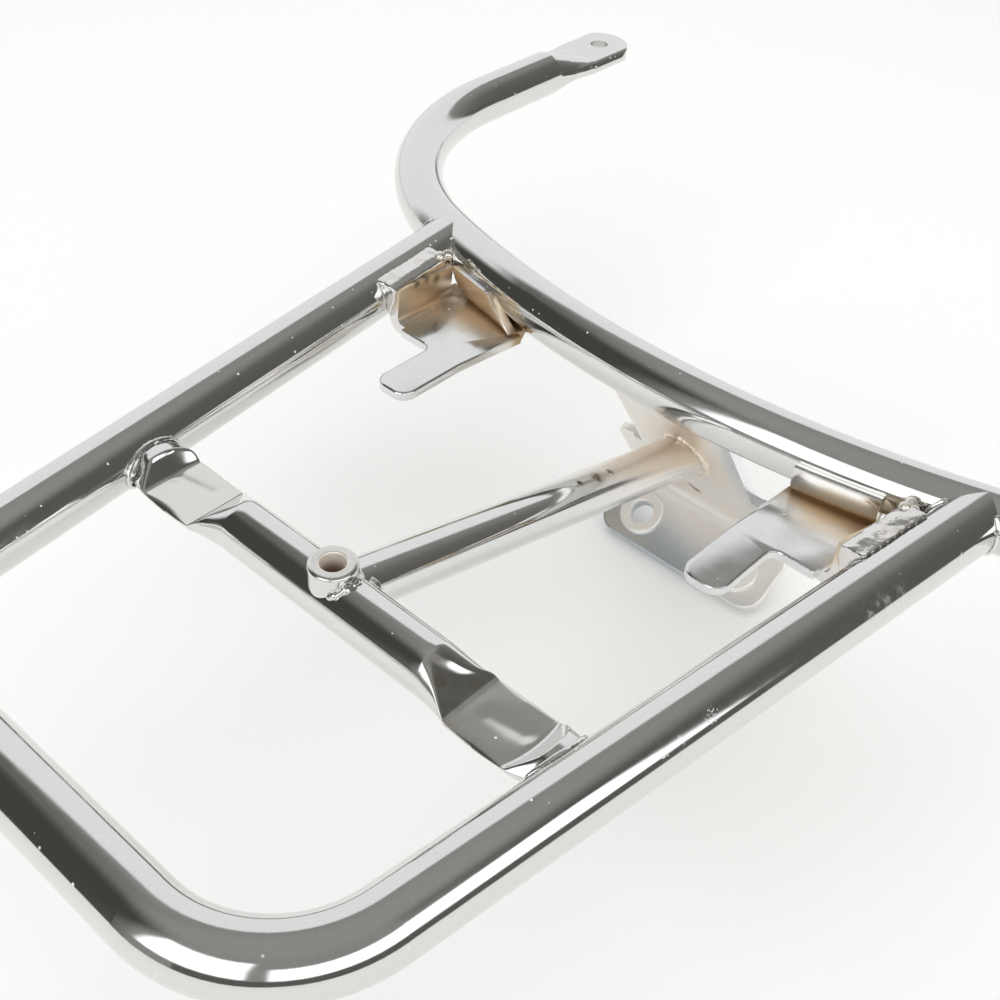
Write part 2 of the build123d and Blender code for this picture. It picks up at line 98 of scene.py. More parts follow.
# What the punch left on each side: where the inner facet begins, how it leans, the bow and bowl of the outer
# slope, the near edge's crushed strip and the bead along the crease; then the dimple of each pad
PADS = {
    "left": {"apex": 43.4, "lean": -6.0, "bow": 0.0, "lens": 1.9, "bead": 0.0, "bowl": 0.24},
    "right": {"apex": 43.4, "lean": 27.0, "bow": 2.3, "lens": 1.7, "bead": 0.14, "bowl": 0.0},
}
DIMPLES = {
    "left": {"middle": 72.2, "y": 2.6, "turn": -0.2, "half": 6.6, "depth": 0.36, "wide": 2.7},
    "right": {"middle": 72.0, "y": 0.8, "turn": 0.12, "half": 5.6, "depth": 0.24, "wide": 2.9},
}

# Loop and hooks, in metres
LOOP_Y = 0.596
LOOP_REAR = 0.445
FLANGE_IN = 0.0165
HOOK_Y = 0.1218
TONGUE_LIFT = 0.036
LIP_FOOT = -0.0085
LIP_REAR = 0.146
HOOK_FALL = 0.0998
HOOK_Z = -0.0057

# Left hook's lip, in metres: where it is cut across, where it slants and how it falls to its inner end
LIP_CUTS = 12
LIP_CUT_X = 0.0665
LIP_CUT_STEP = 0.002
LIP_SLANT_IN = 0.0955
LIP_SLANT_OUT = 0.0985
LIP_END = 0.066
LIP_FALL_RUN = 0.015
LIP_LEAST = 0.06

# Rounded sheet edges and the sheet in the left corner, in millimetres
HOOK_ROUND = {"left": 0.3, "right": 0.6}
CORNER_SHEET = ((-95.0, 156.0), (-101.0, 152.5), (-110.0, 157.0), (-110.5, 167.5), (-95.0, 164.5))
CORNER_FACES = (0.15, 3.6)

# Rings of weld drops round the bush and the strut's front end, in millimetres
BUSH_RING = 8.3
BUSH_LUMPS = (2, 7, 14, 25)
STRUT_RING = 9.8
STRUT_RUN = (0, 191.28, -52.55)
LEG_POINT = (0, 166.0, -11.0)
LEG_LEAN = math.radians(32)

# Chrome, as base colours
CHROME = (0.73, 0.73, 0.72)
CHIPPED = (0.88, 0.88, 0.88)


class Graph:
    """Small helper that adds shader nodes to one tree and links them."""

    def __init__(self, tree):
        self.tree = tree

    def add(self, kind, **settings):
        node = self.tree.nodes.new(kind)
        for name, value in settings.items():
            setattr(node, name, value)
        return node

    def put(self, value, socket):
        if isinstance(value, bpy.types.NodeSocket):
            self.tree.links.new(value, socket)
        else:
            socket.default_value = value

    def math(self, operation, a, b=0.0, clamp=False):
        node = self.add("ShaderNodeMath", operation=operation, use_clamp=clamp)
        self.put(a, node.inputs[0])
        self.put(b, node.inputs[1])
        return node.outputs[0]

    def step(self, value, low, high, to_low=0.0, to_high=1.0):
        node = self.add("ShaderNodeMapRange", interpolation_type="SMOOTHSTEP")
        self.put(value, node.inputs["Value"])
        node.inputs["From Min"].default_value = low
        node.inputs["From Max"].default_value = high
        node.inputs["To Min"].default_value = to_low
        node.inputs["To Max"].default_value = to_high
        return node.outputs[0]

    def fade(self, value, low, high):
        """One up to low, falling to nothing at high."""
        return self.step(value, low, high, 1.0, 0.0)

    def window(self, value, low, high, soft):
        rise = self.step(value, low - soft, low + soft)
        drop = self.fade(value, high - soft, high + soft)
        return self.math("MULTIPLY", rise, drop)

    def length(self, a, b):
        squares = self.math("ADD", self.math("MULTIPLY", a, a), self.math("MULTIPLY", b, b))
        return self.math("SQRT", squares)

    def both(self, *masks):
        out = masks[0]
        for mask in masks[1:]:
            out = self.math("MULTIPLY", out, mask)
        return out

    def either(self, *masks):
        out = masks[0]
        for mask in masks[1:]:
            out = self.math("MAXIMUM", out, mask)
        return out

    def blend(self, mask, a, b):
        node = self.add("ShaderNodeMix", data_type="FLOAT")
        self.put(mask, node.inputs[0])
        self.put(a, node.inputs[2])
        self.put(b, node.inputs[3])
        return node.outputs[0]

    def tint(self, mask, a, b):
        node = self.add("ShaderNodeMix", data_type="RGBA")
        self.put(mask, node.inputs[0])
        self.put(a, node.inputs[6])
        self.put(b, node.inputs[7])
        return node.outputs[2]

    def place(self):
        """Object coordinates, whole and as x, y and z: metres in the rack's frame."""
        whole = self.add("ShaderNodeTexCoord").outputs["Object"]
        split = self.add("ShaderNodeSeparateXYZ")
        self.put(whole, split.inputs[0])
        return (whole, *split.outputs)

    def noise(self, place, scale, detail=2.0):
        node = self.add("ShaderNodeTexNoise")
        self.put(place, node.inputs["Vector"])
        node.inputs["Scale"].default_value = scale
        node.inputs["Detail"].default_value = detail
        return node.outputs[0]

    def near(self, place, point, reach, core=0.0):
        """One at a point in metres, fading to nothing at a distance."""
        node = self.add("ShaderNodeVectorMath", operation="DISTANCE")
        self.put(place, node.inputs[0])
        node.inputs[1].default_value = point
        return self.fade(node.outputs["Value"], core, reach)

    def spots(self, place, *spots):
        """Several near masks in one, each given as point, reach and core."""
        return self.either(*(self.near(place, *spot) for spot in spots))


def make_camera():
    data = bpy.data.cameras.new("camera")
    data.lens = LENS
    data.sensor_width = SENSOR
    data.clip_start = 0.01
    camera = bpy.data.objects.new("camera", data)
    bpy.context.collection.objects.link(camera)
    camera.location = EYE
    camera.rotation_mode = "QUATERNION"
    turn = (AIM - EYE).to_track_quat("-Z", "Y")
    camera.rotation_quaternion = turn @ Quaternion((0, 0, 1), math.radians(ROLL))
    bpy.context.scene.camera = camera


def make_floor():
    """White sheet under the rack, ending a metre to the right and behind it."""
    z = cad_low.z - FLOOR_DROP
    mesh = bpy.data.meshes.new("floor")
    mesh.from_pydata([(x, y, z) for x, y in FLOOR_CORNERS], [], [(0, 1, 2, 3)])
    floor = bpy.data.objects.new("floor", mesh)
    bpy.context.collection.objects.link(floor)
    material = bpy.data.materials.new("floor")
    material.use_nodes = True
    shader = material.node_tree.nodes["Principled BSDF"]
    shader.inputs["Base Color"].default_value = (0.94, 0.94, 0.93, 1)
    shader.inputs["Roughness"].default_value = 0.9
    shader.inputs["Specular IOR Level"].default_value = 0.1
    mesh.materials.append(material)


def make_lamp(name, place, target, size, watts):
    data = bpy.data.lights.new(name, "AREA")
    data.size = size
    data.energy = watts
    lamp = bpy.data.objects.new(name, data)
    bpy.context.collection.objects.link(lamp)
    lamp.location = place
    lamp.rotation_mode = "QUATERNION"
    lamp.rotation_quaternion = (Vector(target) - Vector(place)).to_track_quat("-Z", "Y")
    lamp.visible_glossy = False
    lamp.visible_camera = False


def make_world():
    """Studio seen in the chrome: pale wall on the left, grey ceiling, white soft boxes right and behind.

    Directions are in degrees: turn from +Y towards +X, back_turn from -Y towards +X, rise above the floor.
    """
    world = bpy.data.worlds.new("studio")
    bpy.context.scene.world = world
    world.use_nodes = True
    g = Graph(world.node_tree)
    place = g.add("ShaderNodeTexCoord")
    split = g.add("ShaderNodeSeparateXYZ")
    g.tree.links.new(place.outputs["Generated"], split.inputs[0])
    x, y, z = split.outputs
    turn = g.math("DEGREES", g.math("ARCTAN2", x, y))
    back_turn = g.math("DEGREES", g.math("ARCTAN2", x, g.math("MULTIPLY", y, -1.0)))
    rise = g.math("DEGREES", g.math("ARCSINE", z))

    ceiling = g.step(rise, 45, 75, 0.30, 0.34)
    side = g.both(g.window(turn, -150, -70, 18), g.fade(rise, 50, 68))
    level = g.blend(side, ceiling, 0.15)
    front = g.both(g.step(turn, -14, 26), g.fade(turn, 61, 75), g.fade(rise, 40, 66))
    level = g.blend(front, level, g.step(turn, 0, 60, 0.19, 0.115))
    rear = g.both(g.window(turn, -152, -104, 6), g.fade(rise, 44, 58))
    level = g.blend(rear, level, 0.068)
    low = g.both(g.fade(rise, 7, 10), g.step(turn, -100, -60, 0.0, 1.0))
    level = g.blend(low, level, 0.12)
    reach = g.math("ADD", g.math("MULTIPLY", x, -1.066), g.math("MULTIPLY", y, 0.431))
    wall = g.both(g.step(g.math("SUBTRACT", reach, z), -0.07, 0.05), g.step(turn, -114, -96))
    level = g.blend(wall, level, WALL_LEVEL)
    right = g.both(g.window(turn, 61.5, 140, 1.2), g.window(rise, 9.5, 37.5, 1.5))
    level = g.blend(right, level, BOX_LEVEL)
    back = g.both(g.window(back_turn, -19, 30, 2), g.window(rise, 10, 51, 2))
    level = g.blend(back, level, BOX_LEVEL)

    colour = g.tint(g.step(level, 0.05, 0.6), (1.0, 0.99, 0.90, 1), (0.985, 0.995, 1.0, 1))
    background = world.node_tree.nodes["Background"]
    g.put(colour, background.inputs["Color"])
    g.put(level, background.inputs["Strength"])
    plain = g.add("ShaderNodeBackground")
    plain.inputs["Color"].default_value = (1, 1, 1, 1)
    plain.inputs["Strength"].default_value = 1.0
    seen = g.add("ShaderNodeMixShader")
    g.put(g.add("ShaderNodeLightPath").outputs["Is Camera Ray"], seen.inputs[0])
    g.put(background.outputs[0], seen.inputs[1])
    g.put(plain.outputs[0], seen.inputs[2])
    g.put(seen.outputs[0], world.node_tree.nodes["World Output"].inputs["Surface"])


def metal(name, colour, rough, layers=None, wave=0.05, grain=0.0, haze=0.97, specks=True, sheen=1.0):
    """Chrome with a slow wave, fine haze and pale specks.

    Layers are (mask, colour, roughness, metal), laid over it in turn.
    """
    material = bpy.data.materials.new(name)
    material.use_nodes = True
    g = Graph(material.node_tree)
    shader = material.node_tree.nodes["Principled BSDF"]
    whole, x, y, z = g.place()
    bright = sheen
    slow = g.noise(whole, 45)
    fine = g.noise(whole, 1100, 3)
    dull = tuple(haze * v for v in colour) + (1,)
    tone = g.tint(g.step(fine, 0.35, 0.65), dull, colour + (1,)) if haze < 1 else colour + (1,)
    gloss = g.step(g.noise(whole, 130, 3), 0.3, 0.7, 0.8 * rough, 1.25 * rough)
    for mask, tinge, level, share in layers(g, whole, x, y, z) if layers else ():
        tone = g.tint(mask, tone, tinge + (1,))
        gloss = g.blend(mask, gloss, level)
        if share != sheen:
            bright = g.blend(mask, bright, share)
    if specks:
        cells = g.add("ShaderNodeTexVoronoi")
        g.put(whole, cells.inputs["Vector"])
        cells.inputs["Scale"].default_value = 260
        pick = g.add("ShaderNodeSeparateColor")
        g.put(cells.outputs["Color"], pick.inputs[0])
        worn = g.step(g.noise(whole, 22, 2), 0.36, 0.54)
        reach = g.math("SUBTRACT", cells.outputs["Distance"], g.step(pick.outputs[1], 0.0, 1.0, 0.0, 0.08))
        speck = g.both(g.fade(reach, 0.03, 0.07), g.step(pick.outputs[0], 0.66, 0.70), worn)
        tone = g.tint(speck, tone, CHIPPED + (1,))
        gloss = g.blend(speck, gloss, 0.6)
        bright = g.blend(speck, bright, 0.3)
    g.put(bright, shader.inputs["Metallic"])
    g.put(tone, shader.inputs["Base Color"])
    g.put(gloss, shader.inputs["Roughness"])
    bump = g.add("ShaderNodeBump")
    bump.inputs["Strength"].default_value = wave
    bump.inputs["Distance"].default_value = 0.001
    g.put(slow, bump.inputs["Height"])
    normal = bump.outputs[0]
    if grain:
        rough_bump = g.add("ShaderNodeBump")
        rough_bump.inputs["Strength"].default_value = grain
        rough_bump.inputs["Distance"].default_value = 0.0004
        g.put(g.noise(whole, 700, 3), rough_bump.inputs["Height"])
        g.put(normal, rough_bump.inputs["Normal"])
        normal = rough_bump.outputs[0]
    g.put(normal, shader.inputs["Normal"])
    return material


def tube_layers(g, whole, x, y, z):
    """Rubbed patch and a few chips along the outer side of the right rail."""
    rubbed = g.both(
        g.spots(
            whole,
            ((0.1250, 0.1133, 0.0062), 0.0080),
            ((0.1239, 0.1060, 0.0066), 0.0065),
            ((0.1265, 0.1215, 0.0054), 0.0065),
        ),
        g.step(g.noise(whole, 420, 3), 0.42, 0.85),
    )
    chips = g.both(
        g.spots(
            whole,
            ((0.1134, 0.0256, 0.0073), 0.0022, 0.0004),
            ((0.1132, 0.0184, 0.0065), 0.0018, 0.0003),
            ((0.1143, 0.0382, 0.0080), 0.0034, 0.0006),
            ((0.1309, 0.1525, 0.0044), 0.0018, 0.0003),
        ),
        g.step(g.noise(whole, 1500, 3), 0.54, 0.62),
    )
    return (
        (rubbed, (0.70, 0.71, 0.75), 0.35, 0.85),
        (chips, CHIPPED, 0.6, 0.3),
    )


def hook_layers(g, whole, x, y, z):
    """Satin with a painted straw-coloured reflection of the loop and side flange on the base near them, and
    painted shade in the creases at their feet, fading to bright chrome on its tongue.

    The right lip is bright too, and so is the top of the left one.
    """
    blotch = g.math("MULTIPLY", g.math("SUBTRACT", g.noise(whole, 95, 3), 0.5), 0.012)
    side = g.math("ABSOLUTE", x)
    ahead = g.math("SUBTRACT", y, LOOP_Y)
    from_loop = g.math("SUBTRACT", g.length(x, ahead), LOOP_REAR)
    along = g.math(
        "SUBTRACT",
        g.math("MULTIPLY", side, math.cos(RAIL_TAPER)),
        g.math("MULTIPLY", y, math.sin(RAIL_TAPER)),
    )
    wall = RAIL_X * MM * math.cos(RAIL_TAPER) - FLANGE_IN
    from_flange = g.math("SUBTRACT", wall, along)
    inner_end = g.math("MULTIPLY", g.fade(side, 0.066, 0.082), 0.010)
    ragged_loop = g.math("ADD", g.math("ADD", from_loop, blotch), inner_end)
    ragged_flange = g.math("ADD", from_flange, blotch)
    base = g.step(y, 0.122, 0.136)
    ahead_of_edge = g.math(
        "ADD", g.math("MULTIPLY", side, math.sin(RAIL_TAPER)), g.math("MULTIPLY", y, math.cos(RAIL_TAPER))
    )
    upright = g.both(g.fade(from_flange, 0.0005, 0.002), g.step(ahead_of_edge, 0.1357, 0.1364))
    lip = g.both(g.step(z, -0.0055, -0.0035), g.step(from_flange, 0.002, 0.004), g.step(x, -0.001, 0.001))
    plain = g.math("SUBTRACT", 1.0, lip)
    area = g.both(g.either(base, upright), plain)
    # Satin roughness near the loop and side flange, with a faint painted warm reflection of them
    satin = g.both(g.either(g.fade(ragged_loop, 0.014, 0.028), g.fade(ragged_flange, 0.003, 0.013)), area)
    # Painted straw-coloured reflection of the loop and side flange on the base near them
    straw = g.both(g.either(g.fade(ragged_loop, 0.006, 0.021), g.fade(ragged_flange, 0.001, 0.009)), area)
    # Painted shade, dark brown, in the crease where the lip rises from the base by the loop
    foot = g.both(g.fade(from_loop, 0.0005, 0.006), g.fade(z, -0.0075, -0.0055), plain)
    # Painted shade in the crease along the side flange's fold
    fold = g.both(g.fade(from_flange, 0.0005, 0.003), g.fade(z, -0.006, -0.002), base)
    smudge = g.both(
        g.spots(
            whole,
            ((-0.1022, 0.1367, 0.0066), 0.0036),
            ((-0.1030, 0.1425, 0.0050), 0.0046),
            ((-0.1037, 0.1490, 0.0030), 0.0036),
        ),
        g.step(g.noise(whole, 240, 3), 0.3, 0.6),
    )
    facing = g.add("ShaderNodeSeparateXYZ")
    g.put(g.add("ShaderNodeNewGeometry").outputs["Normal"], facing.inputs[0])
    rim = g.both(
        g.step(facing.outputs[2], 0.45, 0.7),
        g.step(z, -0.0085, -0.0078),
        g.step(from_flange, 0.004, 0.006),
        g.fade(from_loop, 0.0044, 0.005),
        g.fade(x, -0.084, -0.080),
    )
    return (
        (satin, (0.80, 0.77, 0.72), 0.32, 1.0),
        (straw, (0.75, 0.62, 0.46), 0.36, 0.85),
        (smudge, (0.24, 0.18, 0.12), 0.4, 1.0),
        (fold, (0.62, 0.47, 0.33), 0.36, 1.0),
        (foot, (0.42, 0.29, 0.17), 0.45, 1.0),
        (lip, (0.78, 0.76, 0.73), 0.16, 1.0),
        (rim, (0.75, 0.75, 0.75), 0.12, 1.0),
    )


def strut_layers(g, whole, x, y, z):
    """Satin along the strut towards its front end, with a painted straw-coloured reflection on its top and
    dark marks where it begins.
    """
    blotch = g.math("MULTIPLY", g.math("SUBTRACT", g.noise(whole, 70, 3), 0.5), 0.05)
    ragged = g.math("ADD", y, blotch)
    axis = g.math("SUBTRACT", BAR_Z * MM, g.math("MULTIPLY", y, 0.275))
    # The top side takes the painted straw reflection, the underside almost none
    upper = g.step(g.math("SUBTRACT", z, axis), -0.001, 0.006, 0.05, 1.0)
    satin = g.step(ragged, 0.095, 0.16)
    straw = g.both(g.step(ragged, 0.105, 0.17), upper)
    marks = g.both(
        g.spots(
            whole,
            ((0.0023, 0.1170, -0.0220), 0.0020, 0.0006),
            ((0.0025, 0.1269, -0.0248), 0.0036, 0.0008),
            ((0.0025, 0.1348, -0.0270), 0.0022, 0.0004),
        ),
        g.step(g.noise(whole, 500, 3), 0.32, 0.55),
    )
    return (
        (satin, (0.79, 0.78, 0.77), 0.22, 1.0),
        (straw, (0.80, 0.70, 0.60), 0.32, 0.85),
        (marks, (0.16, 0.12, 0.08), 0.5, 1.0),
    )


def bracket_layers(g, whole, x, y, z):
    """Warm satin on the leg and leaf, straw round the strut's end, bluish painted shade along the leaf's
    lower edge.
    """
    straw = g.near(whole, (0.0, 0.188, -0.052), 0.034, 0.008)
    edge = g.math("ADD", z, g.math("MULTIPLY", x, 0.10))
    # Painted shade, darker and bluish, along the leaf's lower edge, weaker towards the right
    edge_shade = g.both(g.fade(edge, -0.114, -0.104), g.step(x, 0.0, 0.03, 1.0, 0.35))
    wing = g.both(g.step(x, 0.016, 0.030), g.step(z, -0.088, -0.070))
    mark = g.both(
        g.spots(
            whole,
            ((-0.0090, 0.2134, -0.0870), 0.0030),
            ((-0.0062, 0.2147, -0.0888), 0.0038, 0.0008),
        ),
        g.step(g.noise(whole, 420, 3), 0.30, 0.55),
    )
    return (
        (straw, (0.88, 0.79, 0.68), 0.42, 0.75),
        (edge_shade, (0.62, 0.66, 0.70), 0.24, 1.0),
        (wing, (0.88, 0.89, 0.91), 0.24, 0.9),
        (mark, (0.30, 0.22, 0.16), 0.5, 1.0),
    )


def bush_layers(g, whole, x, y, z):
    """Straw satin inside the bore, darkening to painted shade towards its bottom."""
    away = g.length(x, y)
    bore = g.fade(away, 0.0043, 0.0048)
    # Painted shade, dark brown, deep in the bore
    bore_shade = g.both(bore, g.fade(z, 0.0075, 0.0125))
    return ((bore, (0.88, 0.82, 0.74), 0.4, 0.3), (bore_shade, (0.36, 0.25, 0.17), 0.5, 0.3))


def bar_layers(g, whole, x, y, z):
    """Duller pads, brown patches round the right one, painted brown shade in the bush's seat."""
    patch = g.step(g.noise(whole, 190, 3), 0.40, 0.68, 0.0, 0.75)
    # Brown patches round the right pad's inner facet and its outer end
    brown_patches = g.both(
        g.spots(
            whole,
            ((0.0480, -0.0045, 0.0070), 0.0060),
            ((0.0515, -0.0035, 0.0045), 0.0050),
            ((0.0580, -0.0080, -0.0004), 0.0060),
            ((0.0560, 0.0040, 0.0010), 0.0040),
            ((0.0790, 0.0060, -0.0004), 0.0050),
        ),
        patch,
    )
    away = g.length(x, y)
    seat = g.fade(away, 0.006, 0.007)
    # Painted shade, dark brown, on the wall and floor of the bush's seat at the bottom of its bore
    under = g.both(seat, g.fade(z, -0.002, 0.002), g.step(z, -0.006, -0.004))
    pad = g.both(g.window(g.math("ABSOLUTE", x), 0.0582, 0.0812, 0.0006), g.step(z, -0.0022, -0.0012))
    return (
        (pad, (0.72, 0.715, 0.69), 0.15, 1.0),
        (brown_patches, (0.42, 0.31, 0.18), 0.3, 1.0),
        (under, (0.50, 0.38, 0.28), 0.45, 0.3),
    )


def weld_layers(g, whole, x, y, z):
    """Straw tinge in patches of the weld metal."""
    patch = g.step(g.noise(whole, 160, 3), 0.5, 0.72)
    return ((patch, (0.72, 0.67, 0.60), 0.2, 1.0),)


def smooth_step(low, high, value):
    """Nothing up to low, one from high on, eased in between."""
    t = np.clip((value - low) / (high - low), 0, 1)
    return t * t * (3 - 2 * t)


def outer_top(x, y, pad):
    """Height above the bar's axis that the punch left towards the rail."""
    start = PAD_OUT + pad["bow"] * (1 - ((y - 2.0) / 14.0) ** 2)
    run = np.maximum(x - start, 0)
    rise = (STUB_TOP - PAD_REL) / (STUB_X - PAD_OUT)
    top = PAD_REL + rise * run + pad["bowl"] * run * np.clip((y - 3.0) / 8.0, 0, 1.2) ** 2
    return np.where(run >= STUB_X - PAD_OUT, BAR_R + 4, top)


def outer_outline(x, pad, half):
    """Outline from the middle of a pad to the rail: an oval under the punched top."""
    top = BAR_R - (BAR_R - STUB_TOP) * smooth_step(PAD_OUT, STUB_X, x)
    turn = np.linspace(0, 2 * np.pi, 1440, endpoint=False)
    y = half * np.sin(turn)
    z = -np.cos(turn)
    z = np.where(z > 0, z * top, z * BAR_R)
    spread = np.linspace(-1.2, 1.2, 25)[:, None]
    weight = np.exp(-0.5 * (spread / 0.4) ** 2)
    cut = (outer_top(x + spread, y[None, :], pad) * weight).sum(0) / weight.sum()
    return y + 1j * np.minimum(z, cut)


def inner_outline(x, pad, half):
    """Outline from the round tube to the middle of a pad: a facet that widens from a point to the crease."""
    back = PAD_IN - x
    back = 0.5 * (back + math.sqrt(back * back + 0.12))
    flat = float(np.clip(1 - back / (PAD_IN - pad["apex"]), 0, 1)) ** 1.22
    lean = math.radians(pad["lean"])
    corner = math.acos(-PAD_REL / BAR_R)
    u = np.linspace(0, 1, 500)

    def side(round_turn, flat_turn):
        y = (1 - flat) * BAR_R * np.sin(round_turn * u) + flat * half * np.sin(flat_turn * u)
        z = -(1 - flat) * BAR_R * np.cos(round_turn * u) - flat * BAR_R * np.cos(flat_turn * u)
        return y + 1j * z

    far = side(math.pi + lean, corner)
    near = side(lean - math.pi, -corner)[::-1]
    wide = (1 - flat) * BAR_R + flat * half * math.sin(corner)
    far = np.where(far.real > 0, far.real * wide / far.real.max(), far.real) + 1j * far.imag
    waist = 0.5 + 0.5 * wide / -near.real.min()
    near = np.where(near.real < 0, near.real * waist, near.real) + 1j * near.imag
    v = np.linspace(-1, 1, 400)
    top = far[-1] + (near[0] - far[-1]) * (v + 1) / 2
    top = top - 1j * 0.5 * 4 * flat * (1 - flat) * (1 - v**2)
    top = top + 1j * pad["bead"] * math.exp(-(((x - PAD_IN) / 0.4) ** 2))
    return np.concatenate((far, top[1:-1], near[:-1]))


def bar_outline(x, pad):
    """Closed outline of the pressed tube at a distance along it, with soft ridges: y + z i from its axis."""
    middle = float(np.sin(np.pi * np.clip((x - PAD_IN) / (PAD_OUT - PAD_IN), 0, 1)))
    half = PAD_HALF + 0.5 * middle - (PAD_HALF - STUB_HALF) * float(smooth_step(PAD_OUT, STUB_X + 3, x))
    line = inner_outline(x, pad, half) if x < (PAD_IN + PAD_OUT) / 2 else outer_outline(x, pad, half)
    lens = pad["lens"] * middle**0.8
    chamfer = PAD_REL - 0.85 * (-line.real - (half - lens))
    line = line.real + 1j * np.where(lens > 0, np.minimum(line.imag, np.maximum(chamfer, -6.0)), line.imag)
    closed = np.append(line, line[0])
    at = np.concatenate(([0], np.cumsum(np.abs(np.diff(closed)))))
    want = np.linspace(0, at[-1], OUTLINE_POINTS, endpoint=False)
    line = np.interp(want, at, closed.real) + 1j * np.interp(want, at, closed.imag)
    rise = float(np.clip((PAD_IN - x) / (PAD_IN - pad["apex"]), 0, 1))
    soft = 0.35 + 1.0 * rise + 0.7 * middle + 0.8 * float(smooth_step(PAD_OUT + 1, STUB_X, x))
    soft *= float(smooth_step(pad["apex"] - APEX_LEAD, pad["apex"] + 1, x))
    waves = np.fft.fftfreq(OUTLINE_POINTS, at[-1] / OUTLINE_POINTS)
    return np.fft.ifft(np.fft.fft(line) * np.exp(-2 * (np.pi * soft * waves) ** 2))


def bar_rows(side):
    """Rows of points from the bar's middle to a rail, as x, y and z from its axis."""
    pad = PADS[side]
    dimple = DIMPLES[side]
    start = pad["apex"] - APEX_LEAD
    coarse = np.concatenate((np.arange(0, COARSE_END, 1.0), np.arange(COARSE_END, start, 2.5)))
    steep = np.arange(start, PAD_IN - FOLD_HALF, FINE_STEP)
    fold = np.arange(PAD_IN - FOLD_HALF, PAD_IN + FOLD_HALF, FOLD_STEP)
    outer = np.arange(PAD_IN + FOLD_HALF, STUB_X + 2, FINE_STEP)
    stations = np.unique(np.concatenate((coarse, steep, fold, outer)).round(6))
    index = np.linspace(0, OUTLINE_POINTS, AROUND, endpoint=False)
    marks = np.arange(OUTLINE_POINTS + 1)
    rows = []
    for x in stations:
        line = bar_outline(x, pad)
        closed = np.append(line, line[0])
        y = np.interp(index, marks, closed.real)
        z = np.interp(index, marks, closed.imag)
        along = x - dimple["middle"]
        off = np.hypot(max(abs(along) - dimple["half"], 0), y - dimple["y"] - dimple["turn"] * along)
        flat = (z > PAD_REL - 0.5) & (x > PAD_IN) & (x < PAD_OUT)
        dent = dimple["depth"] * np.exp(-((off / dimple["wide"]) ** 2))
        swell = 0.05 * math.sin(0.33 * x) * np.cos(0.2 * y)
        z -= np.where(flat, dent - swell, 0)
        rows.append((np.full(AROUND, x), y, z))
    last, y, z = rows[-1]
    rail = RAIL_X + (y * math.sin(RAIL_TAPER) - np.sqrt(RAIL_R**2 - (z + BAR_Z) ** 2)) / math.cos(RAIL_TAPER)
    for t in np.linspace(0, 1, END_ROWS + 1)[1:]:
        rows.append((last + t * (rail + END_LAP - last), y, z))
    return rows


def make_crossbar(material):
    """The pressed tube as one fine grid: soft ridges, shallow dimples, closed ends that meet the rails."""
    left = [np.stack((-x, y, z + BAR_Z), 1) for x, y, z in bar_rows("left")]
    right = [np.stack((x, y, z + BAR_Z), 1) for x, y, z in bar_rows("right")]
    rows = left[::-1] + right[1:]
    points = np.concatenate(rows) * MM
    faces = []
    for row in range(len(rows) - 1):
        for i in range(AROUND):
            j = (i + 1) % AROUND
            quad = (row * AROUND + i, row * AROUND + j, (row + 1) * AROUND + j, (row + 1) * AROUND + i)
            middle = points[list(quad)].mean(0)
            if middle[2] > 0 and math.hypot(middle[0], middle[1]) < SEAT_R * MM:
                continue
            faces.append(quad)
    ring = tuple(range(AROUND))
    faces.append(ring[::-1])
    faces.append(tuple(len(points) - AROUND + i for i in ring))
    mesh = bpy.data.meshes.new("pressed_crossbar")
    mesh.from_pydata(points.tolist(), [], faces)
    mesh.validate()
    mesh.shade_smooth()
    close_seat(mesh)
    place_piece("pressed_crossbar", mesh, material, "crossbar")


def close_seat(mesh):
    """Wall and floor of the bush's seat in the crossbar; they and the bar's ends are shaded flat."""
    shape = bmesh.new()
    shape.from_mesh(mesh)
    bmesh.ops.delete(shape, geom=[v for v in shape.verts if not v.link_faces], context="VERTS")
    rim = [e for e in shape.edges if e.is_boundary]
    wall = bmesh.ops.extrude_edge_only(shape, edges=rim)["geom"]
    for part in wall:
        if isinstance(part, bmesh.types.BMVert):
            part.co.z = SEAT_Z * MM
    bmesh.ops.holes_fill(shape, edges=[e for e in shape.edges if e.is_boundary], sides=0)
    for part in wall:
        if isinstance(part, bmesh.types.BMFace):
            part.smooth = False
    for face in shape.faces:
        if len(face.verts) > 4:
            face.smooth = False
    bmesh.ops.recalc_face_normals(shape, faces=shape.faces)
    shape.to_mesh(mesh)
    shape.free()


def place_piece(name, mesh, material, node):
    """A mesh as the piece that shows in a node's place."""
    mesh.materials.clear()
    mesh.materials.append(material)
    piece = bpy.data.objects.new(name, mesh)
    bpy.context.collection.objects.link(piece)
    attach(piece, "root")
    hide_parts(node)


